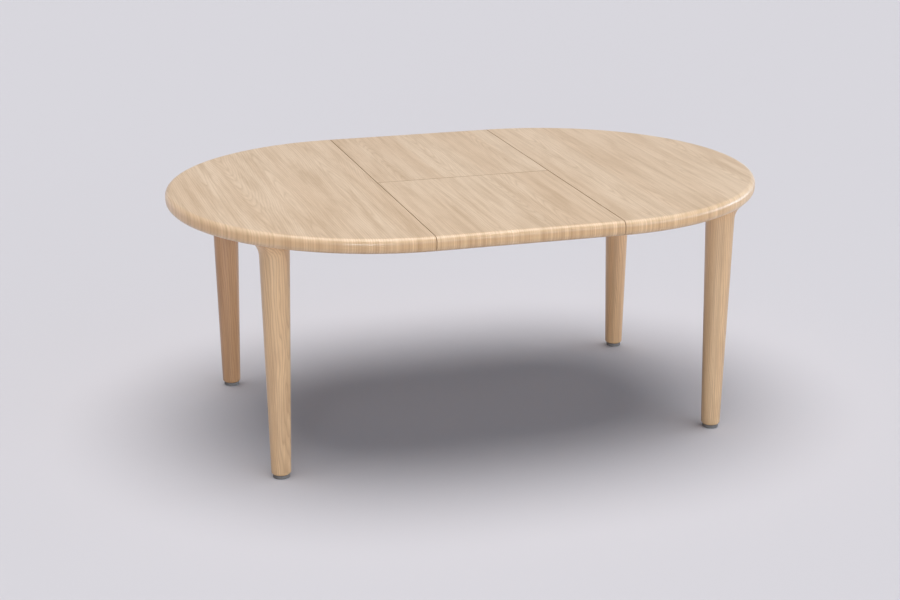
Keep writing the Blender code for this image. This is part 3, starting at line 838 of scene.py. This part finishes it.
class Stage(bpy.types.Operator):
    """Set out the floor, the soft studio light and the camera"""

    bl_idname = "dining_table.stage"
    bl_label = "Stage"

    def execute(self, context):
        clear_selection()
        bpy.ops.mesh.primitive_plane_add(size=FLOOR_SPAN)
        floor = context.object
        floor.name = "studio_floor"
        material, tree, shader = new_material("floor_paper")
        coords = add(tree, "ShaderNodeTexCoord").outputs["Object"]
        cloud = noise(tree, coords, (0.6, 0.6, 0.6), 2.0)
        tone = tuple(colours().floor)
        base = mix(tree, maths(tree, "MULTIPLY", cloud, 0.02), tone, tuple(c * 0.9 for c in tone))
        tree.links.new(base, shader.inputs["Base Color"])
        shader.inputs["Roughness"].default_value = 1.0
        shader.inputs["Specular IOR Level"].default_value = 0.0
        floor.data.materials.append(material)

        world = context.scene.world or bpy.data.worlds.new("studio")
        context.scene.world = world
        world.use_nodes = True
        studio_sky(world.node_tree)

        bpy.ops.object.light_add(type="SUN", location=(0.0, 0.0, 4.0), rotation=(0.0, 0.0, 0.0))
        sun = context.object
        sun.name = "overhead_softbox"
        sun.data.energy = SUN_STRENGTH
        sun.data.angle = radians(SUN_SPREAD)

        bpy.ops.object.camera_add(
            location=CAMERA_PLACE,
            rotation=(radians(90.0 - CAMERA_PITCH), 0.0, radians(-CAMERA_YAW)),
        )
        camera = context.object
        camera.name = "studio_camera"
        camera.data.lens = CAMERA_LENS
        camera.data.sensor_width = CAMERA_SENSOR
        camera.data.dof.use_dof = False
        context.scene.camera = camera
        context.scene.view_settings.view_transform = "Standard"
        return {"FINISHED"}


# ---------------------------------------------------------------- add-on
OPERATORS = (TopHalves, LeafHalves, Legs, Glides, Underside, Stage)


class DiningTablePanel(bpy.types.Panel):
    """Lists the pieces of the dining table"""

    bl_idname = "VIEW3D_PT_dining_table"
    bl_label = "Dining table"
    bl_space_type = "VIEW_3D"
    bl_region_type = "UI"
    bl_category = "Dining table"

    def draw(self, context):
        for operator in OPERATORS:
            self.layout.operator(operator.bl_idname)
        for group in (context.scene.dining_table_sizes, context.scene.dining_table_colours):
            for key in group.__annotations__:
                self.layout.prop(group, key)


CLASSES = (TableSizes, TableColours, *OPERATORS, DiningTablePanel)


def register():
    for item in CLASSES:
        bpy.utils.register_class(item)
    bpy.types.Scene.dining_table_sizes = bpy.props.PointerProperty(type=TableSizes)
    bpy.types.Scene.dining_table_colours = bpy.props.PointerProperty(type=TableColours)


def unregister():
    del bpy.types.Scene.dining_table_colours
    del bpy.types.Scene.dining_table_sizes
    for item in reversed(CLASSES):
        bpy.utils.unregister_class(item)


def main():
    """Build every piece in order."""
    register()
    bpy.ops.dining_table.top_halves()
    bpy.ops.dining_table.leaf_halves()
    bpy.ops.dining_table.legs()
    bpy.ops.dining_table.glides()
    bpy.ops.dining_table.underside()
    bpy.ops.dining_table.stage()
    clear_selection()


if __name__ == "__main__":
    main()
